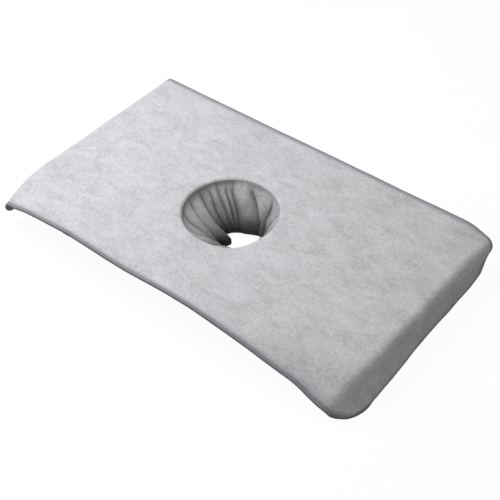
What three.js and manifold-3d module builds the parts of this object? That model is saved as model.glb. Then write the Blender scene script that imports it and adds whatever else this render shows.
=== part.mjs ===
// Face-hole massage pillow with a plush cover, in millimetres, +Z up.
// A bevel-sided foam pad in a zipped cloth case stands on the floor. A plush cover is laid over
// it, hangs down at both short ends and lines the face hole with a gathered sleeve.
// +X runs along the pad to the end where the cover hangs lowest, and +Y to its back long side.
import * as THREE from "three";
import { mergeVertices } from "three/addons/utils/BufferGeometryUtils.js";
import Module from "manifold-3d";

const wasm = await Module();
wasm.setup();

// ---- Driving dimensions -------------------------------------------------------------------
const gap = 0.3; // between pieces that touch

const cover = {
  width: 400,
  cloth: 4.5,
  lift: 0.4, // clear of the case's top panel
  overhang: 8, // past the pad's top edge at each long side
  endClearance: 2.3, // clear of the case's short ends
  bendClearance: 2, // by which the fold over each short end is rounder than the pad's edge
  zipClearance: 6, // from the zip's slider up to the left hem
  hemHeight: 1.8, // the right hem over the floor
  flare: 9, // how far the right hem stands out from the fold
  cornerRadius: 38,
  bindingWidth: 9,
  joinLength: 14, // where the binding's two ends overlap
  joinProud: 0.4, // how far the overlap stands out of the binding
  joinX: -192, // from the pad's middle, on the front edge
};

const pad = {
  length: 662,
  height: 63.4,
  bevel: 48, // how far each long side leans in from the top edge to the foot
  endRound: 14, // top edge at the short ends
  sideRound: 8, // top edge at the long sides
  footRound: 6,
  leftCorner: 40, // in plan, at the zipped end
  rightCorner: 100, // in plan, under the cover's long drop
  cloth: 1.3, // the case's
  comfortLayer: 25, // thickness of the soft foam, on top of the support foam
  topPanelDepth: 19.6, // from the top down to the case's upper seam
  basePanelRise: 9.8, // from the floor up to the case's lower seam
};
const piping = { width: 2.6, proud: 1.2, edgeProud: 0.5 };

const faceHole = {
  offsetX: -17.2, // from the pad's middle
  offsetY: -6,
  radius: 79, // at the cover's rim
  rimDepth: 0.6, // from the cover's top face down to the sleeve's top edge
  boreClearance: 6.8, // between the seam tape under the rim and the pad's lined bore
};
const sleeve = {
  cloth: 3,
  hemRadius: 35, // inside the elastic hem
  hemShiftX: 18, // the hem hangs a little off the rim's axis
  hemShiftY: 4,
  hemHeight: 11,
  channelFloor: 2,
  footGap: 3.2, // over the floor
  throatRise: 20, // from the hem up to where the sleeve has widened by throatWiden
  throatWiden: 14,
  shoulderRise: 6, // from the seam tape's foot up to where the sleeve starts to draw in
};
const seamTape = { cloth: 2.2, height: 10 };
const elastic = { thickness: 0.9, height: 6 };

const zip = {
  chainGap: 1.4, // between the two coils' edges, for the slider's post
  coil: 2.2,
  coilThickness: 2,
  tape: 0.7,
  seamMargin: 1.6, // from each tape's sewn edge to the piping
  cornerMargin: 5, // from each tape's end to the pad's rounded corner
  tapeMargin: 7, // tape past each end of the chain
  slotMargin: 3, // slot past each end of the chain
  slotHeight: 6,
  stopLength: 3,
};
const slider = {
  length: 10,
  width: 9,
  plate: 1,
  plateTaper: 1, // how much shorter the back plate and the post are at each end
  postThickness: 0.8,
  pinRadius: 0.7,
  pinClearance: 0.3,
  pinWall: 0.6, // of the tab's eye round the pin
  lugLength: 3.6,
  lugThickness: 1.2,
  lugWall: 0.8, // past the pin
  tabClearance: 0.4, // between the tab's eye and the front plate
};
const tab = { length: 24, width: 5.5, thickness: 1.2 };

const join = 0.2; // how far solids that are joined run into each other
const past = 1; // how far a cut runs past what it cuts
const ringSegments = 48;

// ---- Derived sizes ------------------------------------------------------------------------
const halfLength = pad.length / 2;
const halfWidth = cover.width / 2 - cover.overhang; // the pad's top
const bevelSlope = pad.bevel / pad.height;
const upperSeam = pad.height - pad.topPanelDepth;
const lowerSeam = pad.basePanelRise;
const bandFoot = lowerSeam + piping.width / 2 + gap;
const zipHeight = (upperSeam + lowerSeam) / 2; // of the chain's middle over the floor
const tapeWidth = zipHeight - zip.chainGap / 2 - gap - bandFoot - zip.seamMargin;
const halfTape = halfWidth - bevelSlope * (pad.height - bandFoot) - pad.leftCorner - zip.cornerMargin;
const halfChain = halfTape - zip.tapeMargin;
const tapeFace = -halfLength - gap; // the zip is sewn on the pad's left end
const coilFace = tapeFace - zip.tape - gap;
const boreRadius = faceHole.radius + gap + seamTape.cloth + faceHole.boreClearance;
const foamBore = boreRadius + pad.cloth + 2 * gap;
const coverUnder = pad.height + cover.lift;
const coverTop = coverUnder + cover.cloth;
const coverEnd = halfLength + cover.endClearance; // the cover's inner face at each short end
const bendRadius = pad.endRound + cover.bendClearance; // inside the cover's folds
const leftHem = zipHeight + slider.width / 2 + cover.zipClearance; // over the floor

// ---- Materials ----------------------------------------------------------------------------
const finish = (color, roughness, metalness = 0) =>
  new THREE.MeshStandardMaterial({ color, roughness, metalness });
const plush = finish(0xb9bbbf, 0.95);
const bindingCloth = finish(0x7c7e83, 0.85);
const sleeveCloth = finish(0xaeb0b4, 0.95);
const caseCloth = finish(0xd9d6cf, 0.9);
const baseCloth = finish(0x4a4c50, 0.85);
const pipingCloth = finish(0x8c8e93, 0.85);
const softFoam = finish(0xe9dfb8, 0.95);
const firmFoam = finish(0xd6dde6, 0.95);
const elasticWeb = finish(0xf0f0ee, 0.8);
const zipTape = finish(0x8a8c90, 0.85);
const zipCoil = finish(0x6c6e73, 0.45);
const zipMetal = finish(0xb8babd, 0.3, 1);

// ---- Geometry helpers ---------------------------------------------------------------------
const object = new THREE.Group();

// A closed geometry as a solid that can be joined and cut.
function solidOf(geometry) {
  const bare = geometry.clone();
  bare.deleteAttribute("normal");
  bare.deleteAttribute("uv");
  const merged = mergeVertices(bare, 1e-4);
  return new wasm.Manifold(
    new wasm.Mesh({
      numProp: 3,
      vertProperties: merged.attributes.position.array,
      triVerts: new Uint32Array(merged.index.array),
    }),
  );
}

function addNode(name, solid, material) {
  const { vertProperties, triVerts } = solid.getMesh();
  const geometry = new THREE.BufferGeometry();
  geometry.setAttribute("position", new THREE.BufferAttribute(vertProperties, 3));
  geometry.setIndex(new THREE.BufferAttribute(triVerts, 1));
  geometry.computeVertexNormals();
  const node = new THREE.Mesh(geometry, material);
  node.name = name;
  object.add(node);
}

// A block between two opposite corners.
function block(a, b) {
  const [low, high] = [a.map((v, i) => Math.min(v, b[i])), a.map((v, i) => Math.max(v, b[i]))];
  const box = new THREE.BoxGeometry(...high.map((v, i) => v - low[i]));
  return solidOf(box.translate(...high.map((v, i) => (v + low[i]) / 2)));
}

// A rounded rectangle whose corners may be rounder at its right end than at its left.
function roundedRectangle(halfX, halfY, right, left = right, centreY = 0) {
  const shape = new THREE.Shape();
  const corners = [
    [1, 1, right, 0],
    [-1, 1, left, 0.5],
    [-1, -1, left, 1],
    [1, -1, right, 1.5],
  ];
  for (const [sx, sy, radius, turn] of corners)
    shape.absarc(
      sx * (halfX - radius),
      centreY + sy * (halfY - radius),
      radius,
      turn * Math.PI,
      (turn + 0.5) * Math.PI,
    );
  shape.closePath();
  return shape;
}

// A closed solid through rings of points at rising heights, with a flat cap at each end.
function loft(rings) {
  const count = rings[0].points.length;
  const positions = rings.flatMap(({ z, points }) => points.flatMap((p) => [p.x, p.y, z]));
  const faces = [];
  for (let k = 0; k + 1 < rings.length; k++)
    for (let i = 0; i < count; i++) {
      const a = k * count + i;
      const b = k * count + ((i + 1) % count);
      faces.push(a, b, b + count, a, b + count, a + count);
    }
  const last = (rings.length - 1) * count;
  for (let i = 1; i + 1 < count; i++) {
    faces.push(0, i + 1, i);
    faces.push(last, last + i, last + i + 1);
  }
  const geometry = new THREE.BufferGeometry();
  geometry.setAttribute("position", new THREE.Float32BufferAttribute(positions, 3));
  geometry.setIndex(faces);
  return solidOf(geometry);
}

// A ring round the face hole's axis, from a closed profile of [radius, height] points listed
// anticlockwise. shiftAt(height) moves each level sideways.
function ringAbout(profile, shiftAt = () => [0, 0]) {
  const closed = [...profile, profile[0]].map(([r, z]) => new THREE.Vector2(r, z));
  const geometry = new THREE.LatheGeometry(closed, ringSegments);
  geometry.rotateX(Math.PI / 2);
  const position = geometry.attributes.position;
  for (let i = 0; i < position.count; i++) {
    const [dx, dy] = shiftAt(position.getZ(i));
    position.setX(i, position.getX(i) + dx + faceHole.offsetX);
    position.setY(i, position.getY(i) + dy + faceHole.offsetY);
  }
  return solidOf(geometry);
}

// A plain band of cloth round the face hole.
const band = (inner, outer, z0, z1, shiftAt) =>
  ringAbout([[inner, z0], [outer, z0], [outer, z1], [inner, z1]], shiftAt);

const upright = (radius, x, y, z0, z1, segments) =>
  solidOf(
    new THREE.CylinderGeometry(radius, radius, z1 - z0, segments)
      .rotateX(Math.PI / 2)
      .translate(x, y, (z0 + z1) / 2),
  );
const bore = (radius, z0, z1) =>
  upright(radius, faceHole.offsetX, faceHole.offsetY, z0, z1, ringSegments);

// How far a rounded edge of this radius has drawn in at this distance from its end plane.
function edgeDraw(distance, radius) {
  if (distance >= radius) return 0;
  return radius - Math.sqrt(radius ** 2 - (radius - distance) ** 2);
}

// ---- Pad ----------------------------------------------------------------------------------
// The pad's outline at a height, drawn in by inset all round, or out where inset is negative.
function padOutline(z, inset) {
  const fromTop = Math.max(0, pad.height - inset - z);
  const foot = edgeDraw(Math.max(0, z - inset), pad.footRound - inset);
  const halfX = halfLength - inset - edgeDraw(fromTop, pad.endRound - inset) - foot;
  const lean = bevelSlope * (pad.height - z);
  const sideInset = inset * Math.hypot(1, bevelSlope);
  const halfY = halfWidth - lean - sideInset - edgeDraw(fromTop, pad.sideRound - inset) - foot;
  return roundedRectangle(halfX, halfY, pad.rightCorner - inset, pad.leftCorner - inset).getPoints(6);
}

// The pad's body between two heights. It steps finely where its edges are rounded.
function padBody(inset, z0, z1) {
  const levels = new Set([z0, z1]);
  for (const share of [0, 0.06, 0.15, 0.3, 0.5, 0.75, 1]) {
    levels.add(pad.height - inset - share * (pad.endRound - inset));
    levels.add(inset + share * (pad.footRound - inset));
  }
  const inside = [...levels].filter((z) => z >= z0 && z <= z1).sort((a, b) => a - b);
  return loft(inside.map((z) => ({ z, points: padOutline(z, inset) })));
}

// The case's cloth between two heights, open where foam fills it.
function caseShell(z0, z1) {
  const floor = Math.max(pad.cloth, z0 - past);
  const ceiling = Math.min(pad.height - pad.cloth, z1 + past);
  return padBody(0, z0, z1).subtract(padBody(pad.cloth, floor, ceiling));
}

function foamLayers() {
  const inset = pad.cloth + gap;
  const split = pad.height - inset - pad.comfortLayer;
  const cut = bore(foamBore, -past, pad.height + past);
  addNode("support_foam", padBody(inset, inset, split - gap).subtract(cut), firmFoam);
  addNode("comfort_foam", padBody(inset, split, pad.height - inset).subtract(cut), softFoam);
}

function clothCase() {
  const half = piping.width / 2 + gap;
  const cut = bore(boreRadius, -past, pad.height + past);
  const halfSlot = halfChain + zip.slotMargin;
  const slot = block(
    [-halfLength - past, -halfSlot, zipHeight - zip.slotHeight / 2],
    [-halfLength + pad.cloth + past, halfSlot, zipHeight + zip.slotHeight / 2],
  );
  addNode("case_top_panel", caseShell(upperSeam + half, pad.height).subtract(cut), caseCloth);
  addNode("case_side_band", caseShell(bandFoot, upperSeam - half).subtract(slot), caseCloth);
  addNode("case_base_panel", caseShell(0, lowerSeam - half).subtract(cut), baseCloth);
  const edge = pad.cloth + gap;
  addNode("bore_lining", band(boreRadius, boreRadius + pad.cloth, edge, pad.height - edge), caseCloth);
}

// A cord sewn into a seam of the case: a band that stands proud of the cloth all round.
function pipingCord(name, seam) {
  const half = piping.width / 2;
  const levels = [
    [-half, piping.edgeProud],
    [-half / 2, piping.proud],
    [half / 2, piping.proud],
    [half, piping.edgeProud],
  ];
  const rings = levels.map(([rise, proud]) => {
    const z = seam + rise;
    return { z, points: padOutline(z, -proud) };
  });
  const inside = padBody(pad.cloth, seam - half - past, seam + half + past);
  addNode(name, loft(rings).subtract(inside), pipingCloth);
}

// ---- Zip on the left end ------------------------------------------------------------------
function zipTrack() {
  const coilEdge = zip.chainGap / 2;
  const coilOut = coilFace - zip.coilThickness;
  for (const [side, sign] of [
    ["upper", 1],
    ["lower", -1],
  ]) {
    const at = (rise) => zipHeight + sign * rise;
    const tapeEdge = coilEdge + gap;
    addNode(
      `zip_tape_${side}`,
      block(
        [tapeFace - zip.tape, -halfTape, at(tapeEdge)],
        [tapeFace, halfTape, at(tapeEdge + tapeWidth)],
      ),
      zipTape,
    );
    addNode(
      `zip_coil_${side}`,
      block([coilOut, -halfChain, at(coilEdge)], [coilFace, halfChain, at(coilEdge + zip.coil)]),
      zipCoil,
    );
  }
  for (const [name, sign] of [
    ["zip_stop_closed", -1],
    ["zip_stop_open", 1],
  ]) {
    const near = halfChain + gap;
    addNode(
      name,
      block(
        [coilOut, sign * near, zipHeight - zip.coil],
        [coilFace, sign * (near + zip.stopLength), zipHeight + zip.coil],
      ),
      zipMetal,
    );
  }
}

// The slider stands at the chain's closed end, and its tab lies back along the chain.
function zipSlider() {
  const frontFace = coilFace - zip.coilThickness - gap;
  const frontOut = frontFace - slider.plate;
  const start = -halfChain;
  const end = start + slider.length;
  const middle = (start + end) / 2;
  const pinX = frontOut - slider.tabClearance - slider.pinWall - slider.pinClearance - slider.pinRadius;
  const halfBack = zip.slotHeight / 2 - gap;
  const tabEdge = tab.width / 2;
  const lugEdge = tabEdge + gap;
  const lugOut = lugEdge + slider.lugThickness;
  const pinHole = slider.pinRadius + slider.pinClearance;
  const atPin = (radius, reach) => upright(radius, pinX, middle, zipHeight - reach, zipHeight + reach, 20);

  const plates = block(
    [frontOut, start, zipHeight - slider.width / 2],
    [frontFace, end, zipHeight + slider.width / 2],
  )
    .add(
      block(
        [frontFace - join, start + slider.plateTaper, zipHeight - slider.postThickness / 2],
        [-halfLength + join, end - slider.plateTaper, zipHeight + slider.postThickness / 2],
      ),
    )
    .add(
      block(
        [-halfLength, start + slider.plateTaper, zipHeight - halfBack],
        [-halfLength + slider.plate, end - slider.plateTaper, zipHeight + halfBack],
      ),
    );
  const lug = (sign) =>
    block(
      [pinX - pinHole - slider.lugWall, middle - slider.lugLength / 2, zipHeight + sign * lugEdge],
      [frontOut + join, middle + slider.lugLength / 2, zipHeight + sign * lugOut],
    );
  const body = plates.add(lug(1)).add(lug(-1)).subtract(atPin(pinHole, lugOut + past));
  addNode("zip_slider", body, zipMetal);
  addNode("zip_pull_pin", atPin(slider.pinRadius, lugOut), zipMetal);
  const pull = block(
    [pinX - tab.thickness / 2, middle, zipHeight - tabEdge],
    [pinX + tab.thickness / 2, middle + tab.length, zipHeight + tabEdge],
  )
    .add(atPin(pinHole + slider.pinWall, tabEdge))
    .subtract(atPin(pinHole, tabEdge + past));
  addNode("zip_pull_tab", pull, zipMetal);
}

// ---- Cover --------------------------------------------------------------------------------
// The cover's cloth bent over both ends: its side view, drawn in X and Z and pushed along Y.
// The left end runs below its hem, and the right end to the floor, for the columns to trim.
function coverSheet() {
  const bendX = coverEnd - bendRadius;
  const bendZ = coverUnder - bendRadius;
  const outerRadius = bendRadius + cover.cloth;
  const flareTop = 0.55 * bendZ;
  const side = new THREE.Shape();
  side.moveTo(-coverEnd, 0);
  side.absarc(-bendX, bendZ, bendRadius, Math.PI, Math.PI / 2, true);
  side.absarc(bendX, bendZ, bendRadius, Math.PI / 2, 0, true);
  side.lineTo(coverEnd, flareTop);
  side.lineTo(coverEnd + cover.flare, 0);
  side.lineTo(coverEnd + cover.flare + cover.cloth, 0);
  side.lineTo(coverEnd + cover.cloth, flareTop);
  side.absarc(bendX, bendZ, outerRadius, 0, Math.PI / 2, false);
  side.absarc(-bendX, bendZ, outerRadius, Math.PI / 2, Math.PI, false);
  side.lineTo(-coverEnd - cover.cloth, 0);
  side.closePath();
  const sheet = new THREE.ExtrudeGeometry(side, {
    depth: cover.width + 2 * past,
    bevelEnabled: false,
    curveSegments: 8,
  });
  return solidOf(sheet.rotateX(Math.PI / 2).translate(0, cover.width / 2 + past, 0));
}

// The space that holds the cover's cloth up to this distance from its outline: one column for
// each short end, because their hems hang at different heights.
function coverColumns(inset) {
  const halfY = cover.width / 2 - inset;
  const ceiling = coverTop + 2 * cover.cornerRadius;
  const reach = coverEnd + cover.flare + cover.cloth + past;
  const column = (hem, x0, x1) => {
    const corner = Math.min(cover.cornerRadius, coverUnder - hem) - inset;
    const foot = hem + inset;
    const middle = (ceiling + foot) / 2;
    const shape = roundedRectangle(halfY, (ceiling - foot) / 2, corner, corner, middle);
    const prism = new THREE.ExtrudeGeometry(shape, {
      depth: x1 - x0,
      bevelEnabled: false,
      curveSegments: 8,
    });
    // the shape's x becomes Y, its y becomes Z, and its depth X
    return solidOf(prism.rotateX(Math.PI / 2).rotateZ(Math.PI / 2).translate(x0, 0, 0));
  };
  return column(leftHem, -reach, past).add(column(cover.hemHeight, -past, reach));
}

function plushCover() {
  const sheet = coverSheet();
  const hole = bore(faceHole.radius, coverUnder - past, coverTop + past);
  const panel = sheet.intersect(coverColumns(cover.bindingWidth)).subtract(hole);
  addNode("cover_panel", panel, plush);
  // the binding runs all round, and its overlapped ends are a thicker piece on the front edge
  const edge = sheet.intersect(coverColumns(0)).subtract(coverColumns(cover.bindingWidth - gap));
  const front = -cover.width / 2;
  const joinEnd = cover.joinX + cover.joinLength;
  const space = block(
    [cover.joinX - gap, front - past, coverUnder - past],
    [joinEnd + gap, front + cover.bindingWidth, coverTop + past],
  );
  addNode("edge_binding", edge.subtract(space), bindingCloth);
  const overlap = block(
    [cover.joinX, front - cover.joinProud, coverUnder],
    [joinEnd, front + cover.bindingWidth - gap, coverTop + cover.joinProud],
  );
  addNode("binding_join", overlap, bindingCloth);
}

function faceSleeve() {
  const rim = coverTop - faceHole.rimDepth;
  const rimOuter = faceHole.radius - gap;
  const foot = sleeve.footGap + sleeve.hemHeight + gap;
  const hemOuter = sleeve.hemRadius + sleeve.cloth;
  const throat = foot + sleeve.throatRise;
  const throatInner = sleeve.hemRadius + sleeve.throatWiden;
  const shoulder = coverUnder - seamTape.height + sleeve.shoulderRise;
  const shiftAt = (z) => {
    const share = Math.min(1, Math.max(0, (shoulder - z) / (shoulder - foot)));
    return [sleeve.hemShiftX * share, sleeve.hemShiftY * share];
  };
  const walls = [
    [rimOuter, rim],
    [rimOuter - sleeve.cloth, rim],
    [rimOuter - sleeve.cloth, shoulder],
    [throatInner, throat],
    [sleeve.hemRadius, foot],
    [hemOuter, foot],
    [throatInner + sleeve.cloth, throat],
    [rimOuter, shoulder],
  ];
  addNode("face_sleeve", ringAbout(walls, shiftAt), sleeveCloth);
  const tapeInner = faceHole.radius + gap;
  const tapeTop = coverUnder - gap;
  const tape = band(tapeInner, tapeInner + seamTape.cloth, tapeTop - seamTape.height, tapeTop);
  addNode("rim_seam_tape", tape, bindingCloth);
  sleeveHem(foot, hemOuter, () => shiftAt(foot));
}

// The hem is a channel folded up round the elastic, open at its top.
function sleeveHem(foot, outer, shiftAt) {
  const inner = sleeve.hemRadius;
  const wall = (sleeve.cloth - elastic.thickness) / 2 - gap;
  const floor = sleeve.footGap + sleeve.channelFloor;
  const top = foot - gap;
  const channel = [
    [inner, top],
    [inner, sleeve.footGap],
    [outer, sleeve.footGap],
    [outer, top],
    [outer - wall, top],
    [outer - wall, floor],
    [inner + wall, floor],
    [inner + wall, top],
  ];
  addNode("sleeve_hem", ringAbout(channel, shiftAt), sleeveCloth);
  const near = inner + wall + gap;
  const ring = band(near, near + elastic.thickness, floor + gap, floor + gap + elastic.height, shiftAt);
  addNode("hem_elastic", ring, elasticWeb);
}

foamLayers();
clothCase();
pipingCord("case_upper_piping", upperSeam);
pipingCord("case_lower_piping", lowerSeam);
zipTrack();
zipSlider();
plushCover();
faceSleeve();

// The origin is on the floor, under the middle of the object's whole length and width.
const { min, max } = new THREE.Box3().setFromObject(object);
object.position.set(-(min.x + max.x) / 2, -(min.y + max.y) / 2, 0);

export default object;
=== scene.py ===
# Face-hole massage pillow: a bound plush cover with a gathered face sleeve, laid over a zipped
# foam pad. Lengths are in metres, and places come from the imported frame.
import math

import bpy
import numpy as np
from mathutils import Matrix, Vector


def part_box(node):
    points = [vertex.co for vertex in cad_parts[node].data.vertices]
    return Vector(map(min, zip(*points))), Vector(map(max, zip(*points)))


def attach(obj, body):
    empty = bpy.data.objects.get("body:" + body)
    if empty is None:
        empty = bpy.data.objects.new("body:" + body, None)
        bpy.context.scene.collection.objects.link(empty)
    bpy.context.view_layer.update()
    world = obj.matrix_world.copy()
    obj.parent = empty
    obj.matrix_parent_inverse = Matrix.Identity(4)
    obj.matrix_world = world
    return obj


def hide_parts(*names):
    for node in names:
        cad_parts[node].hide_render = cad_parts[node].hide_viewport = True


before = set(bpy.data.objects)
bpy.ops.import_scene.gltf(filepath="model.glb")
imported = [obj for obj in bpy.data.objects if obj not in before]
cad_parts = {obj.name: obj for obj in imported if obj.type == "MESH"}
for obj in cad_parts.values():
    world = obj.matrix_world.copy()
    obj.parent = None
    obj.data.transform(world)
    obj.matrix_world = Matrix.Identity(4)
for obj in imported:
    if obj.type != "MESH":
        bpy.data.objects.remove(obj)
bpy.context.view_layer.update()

scene = bpy.context.scene
scene.view_settings.view_transform = "Standard"

# places that several pieces share
tapeLow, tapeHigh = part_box("rim_seam_tape")  # this ring stands on the face hole's axis
topLow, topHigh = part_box("case_top_panel")
baseLow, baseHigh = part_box("case_base_panel")
bindingLow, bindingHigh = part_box("edge_binding")
holeX = (tapeLow.x + tapeHigh.x) / 2
holeY = (tapeLow.y + tapeHigh.y) / 2
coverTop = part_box("cover_panel")[1].z
clothUnderHole = 0.0025  # the seam tape's cloth and its gap
holeRadius = (tapeHigh.x - tapeLow.x) / 2 - clothUnderHole
padX = (topLow.x + topHigh.x) / 2
padY = (topLow.y + topHigh.y) / 2
print("frame loaded, hole at", round(holeX, 4), round(holeY, 4), "radius", round(holeRadius, 4))


def smoothStep(start, end, value):
    # rises from 0 at start to 1 at end along 3t^2 - 2t^3
    t = np.clip((value - start) / (end - start), 0, 1)
    return t * t * (3 - 2 * t)


def unit(rows):
    # the same directions at length one
    return rows / np.linalg.norm(rows, axis=-1, keepdims=True)


def together(*parts):
    # coordinates of any matching shapes, joined into points
    return np.stack(np.broadcast_arrays(*parts), -1)


def fullTurn(count):
    return np.linspace(0, 2 * math.pi, count, endpoint=False)


def squared(wave, power):
    # a sine or cosine raised to a power with its sign kept, as a superellipse needs
    return np.sign(wave) * np.abs(wave) ** power


def heights(node):
    return tuple(corner.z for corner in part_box(node))


def tube(centre, out, up, radius, sides):
    # sections of a round tube along a line, in the plane of the directions out and up
    turn = fullTurn(sides)
    return (centre[:, None] + out[:, None] * (radius * np.cos(turn))[None, :, None]
            + up * (radius * np.sin(turn))[None, :, None])


def softNoise(x, y, z, wavelength, seed, count=9, spread=(0.7, 1.5), level=0.7):
    # a sum of sine waves in random directions, about -1 to 1, with wavelengths round the given one
    draw = np.random.default_rng(seed)
    total = np.zeros(np.broadcast(x, y, z).shape)
    for _ in range(count):
        direction = draw.normal(size=3)
        direction /= np.linalg.norm(direction)
        rate = 2 * math.pi / (wavelength * draw.uniform(*spread))
        phase = draw.uniform(0, 2 * math.pi)
        total += np.sin(rate * (direction[0] * x + direction[1] * y + direction[2] * z) + phase)
    return total / math.sqrt(count) * level


def addObject(name, data):
    made = bpy.data.objects.new(name, data)
    scene.collection.objects.link(made)
    return made


def makeObject(name, points, faces, attributes=None):
    # puts arrays into a mesh, turned so that its enclosed volume is positive
    triangles = np.concatenate([faces[:, [0, 1, 2]], faces[:, [0, 2, 3]]])
    a, b, c = (points[triangles[:, k]] for k in range(3))
    if np.einsum("ij,ij->i", a, np.cross(b, c)).sum() < 0:
        faces = faces[:, ::-1]
    mesh = bpy.data.meshes.new(name)
    mesh.vertices.add(len(points))
    mesh.vertices.foreach_set("co", points.astype(np.float32).ravel())
    mesh.loops.add(faces.size)
    mesh.loops.foreach_set("vertex_index", faces.astype(np.int32).ravel())
    mesh.polygons.add(len(faces))
    mesh.polygons.foreach_set("loop_start", np.arange(0, faces.size, 4, dtype=np.int32))
    mesh.polygons.foreach_set("use_smooth", np.ones(len(faces), bool))
    mesh.update(calc_edges=True)
    mesh.validate()
    for key, values in (attributes or {}).items():
        attribute = mesh.attributes.new(key, "FLOAT_VECTOR", "POINT")
        attribute.data.foreach_set("vector", values.astype(np.float32).ravel())
    return addObject(name, mesh)


def ringFaces(rows, columns):
    # four-sided faces of a grid that closes on itself both ways
    r, c = np.meshgrid(np.arange(rows), np.arange(columns), indexing="ij")
    r2, c2 = (r + 1) % rows, (c + 1) % columns
    corners = [r * columns + c, r * columns + c2, r2 * columns + c2, r2 * columns + c]
    return np.stack(corners, -1).reshape(-1, 4)


def closedRing(name, grid, values=None, key="flat"):
    # grid[i, j]: point j of the closed section at place i round the piece's loop
    rows, columns = grid.shape[:2]
    attributes = None if values is None else {key: values.reshape(-1, 3)}
    return makeObject(name, grid.reshape(-1, 3), ringFaces(rows, columns), attributes)


def cappedBar(grid):
    # points and faces of a bar of closed sections grid[i, j], each end drawn to its middle point
    rows, columns = grid.shape[:2]
    points = np.concatenate([grid.reshape(-1, 3), grid[0].mean(0)[None], grid[-1].mean(0)[None]])
    side = ringFaces(rows, columns)[: (rows - 1) * columns]
    first, last = rows * columns, rows * columns + 1
    top = (rows - 1) * columns
    # each cap triangle repeats no corner: two neighbours share one four-sided face
    half = np.arange(0, columns, 2)
    a, b, c = half, (half + 1) % columns, (half + 2) % columns
    startCap = np.stack([np.full_like(a, first), c, b, a], -1)
    endCap = np.stack([np.full_like(a, last), top + a, top + b, top + c], -1)
    return points, np.concatenate([side, startCap, endCap])


def joinBars(name, bars):
    # one mesh from several bars' points and faces
    points = []
    faces = []
    count = 0
    for p, f in bars:
        points.append(p)
        faces.append(f + count)
        count += len(p)
    return makeObject(name, np.concatenate(points), np.concatenate(faces))


def dress(piece, body, material, slot, *nodes):
    # its material, and what it rides on and stands for; slot, what it is made of, is not used
    piece.data.materials.clear()
    piece.data.materials.append(material)
    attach(piece, body)
    if nodes:
        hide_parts(*nodes)
    return piece


class Shader:
    # a small wrapper that adds nodes and links to a new material
    def __init__(self, name):
        self.material = bpy.data.materials.new(name)
        self.material.use_nodes = True
        self.tree = self.material.node_tree
        self.tree.nodes.clear()
        self.out = self.node("ShaderNodeOutputMaterial")
        self.surface = self.node("ShaderNodeBsdfPrincipled")
        self.link(self.surface.outputs["BSDF"], self.out.inputs["Surface"])

    def node(self, kind, **settings):
        made = self.tree.nodes.new(kind)
        for key, value in settings.items():
            setattr(made, key, value)
        return made

    def link(self, a, b):
        self.tree.links.new(a, b)

    def place(self, attribute=None, scale=(1, 1, 1), turn=0.0):
        # coordinates in metres: the object's own, or the flat cut's where attribute names it
        if attribute:
            source = self.node("ShaderNodeAttribute", attribute_name=attribute).outputs["Vector"]
        else:
            source = self.node("ShaderNodeTexCoord").outputs["Object"]
        mapping = self.node("ShaderNodeMapping")
        mapping.inputs["Scale"].default_value = scale
        mapping.inputs["Rotation"].default_value = (0, 0, turn)
        self.link(source, mapping.inputs["Vector"])
        return mapping.outputs["Vector"]

    def noise(self, vector, scale, detail=3.0, roughness=0.55, distortion=0.0):
        made = self.node("ShaderNodeTexNoise")
        made.inputs["Distortion"].default_value = distortion
        made.inputs["Scale"].default_value = scale
        made.inputs["Detail"].default_value = detail
        made.inputs["Roughness"].default_value = roughness
        self.link(vector, made.inputs["Vector"])
        return made.outputs["Fac"]

    def wave(self, vector, scale, direction, distortion=0.0):
        made = self.node("ShaderNodeTexWave", bands_direction=direction)
        made.inputs["Scale"].default_value = scale
        made.inputs["Distortion"].default_value = distortion
        self.link(vector, made.inputs["Vector"])
        return made.outputs["Fac"]

    def math(self, operation, *values):
        made = self.node("ShaderNodeMath", operation=operation)
        for socket, value in zip(made.inputs, values):
            if isinstance(value, (int, float)):
                socket.default_value = value
            else:
                self.link(value, socket)
        return made.outputs["Value"]

    def blend(self, a, b, share):
        # the share of a, and the rest of b
        return self.math("ADD", self.math("MULTIPLY", a, share), self.math("MULTIPLY", b, 1 - share))

    def ramp(self, value, colour, *stops):
        # each stop is a position and how bright the colour is there
        made = self.node("ShaderNodeValToRGB")
        elements = made.color_ramp.elements
        while len(elements) < len(stops):
            elements.new(0.5)
        for element, (position, level) in zip(elements, stops):
            element.position = position
            element.color = (*shade(colour, level), 1)
        self.link(value, made.inputs["Fac"])
        return made.outputs["Color"]

    def mixColour(self, factor, a, b, kind="MULTIPLY"):
        made = self.node("ShaderNodeMix", data_type="RGBA", blend_type=kind)
        for socket, value in ((made.inputs[0], factor), (made.inputs[6], a), (made.inputs[7], b)):
            if isinstance(value, (int, float)):
                socket.default_value = value
            elif isinstance(value, tuple):
                socket.default_value = (*value, 1)
            else:
                self.link(value, socket)
        return made.outputs[2]

    def bump(self, height, strength, distance, under=None):
        made = self.node("ShaderNodeBump")
        made.inputs["Strength"].default_value = strength
        made.inputs["Distance"].default_value = distance
        self.link(height, made.inputs["Height"])
        if under:
            self.link(under, made.inputs["Normal"])
        return made.outputs["Normal"]

    def finishWith(self, colour=None, normal=None, **values):
        if colour is not None:
            self.link(colour, self.surface.inputs["Base Color"])
        if normal is not None:
            self.link(normal, self.surface.inputs["Normal"])
        for key, value in values.items():
            self.surface.inputs[key.replace("_", " ")].default_value = value
        return self.material


def shade(colour, factor):
    return tuple(min(1.0, c * factor) for c in colour)


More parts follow.
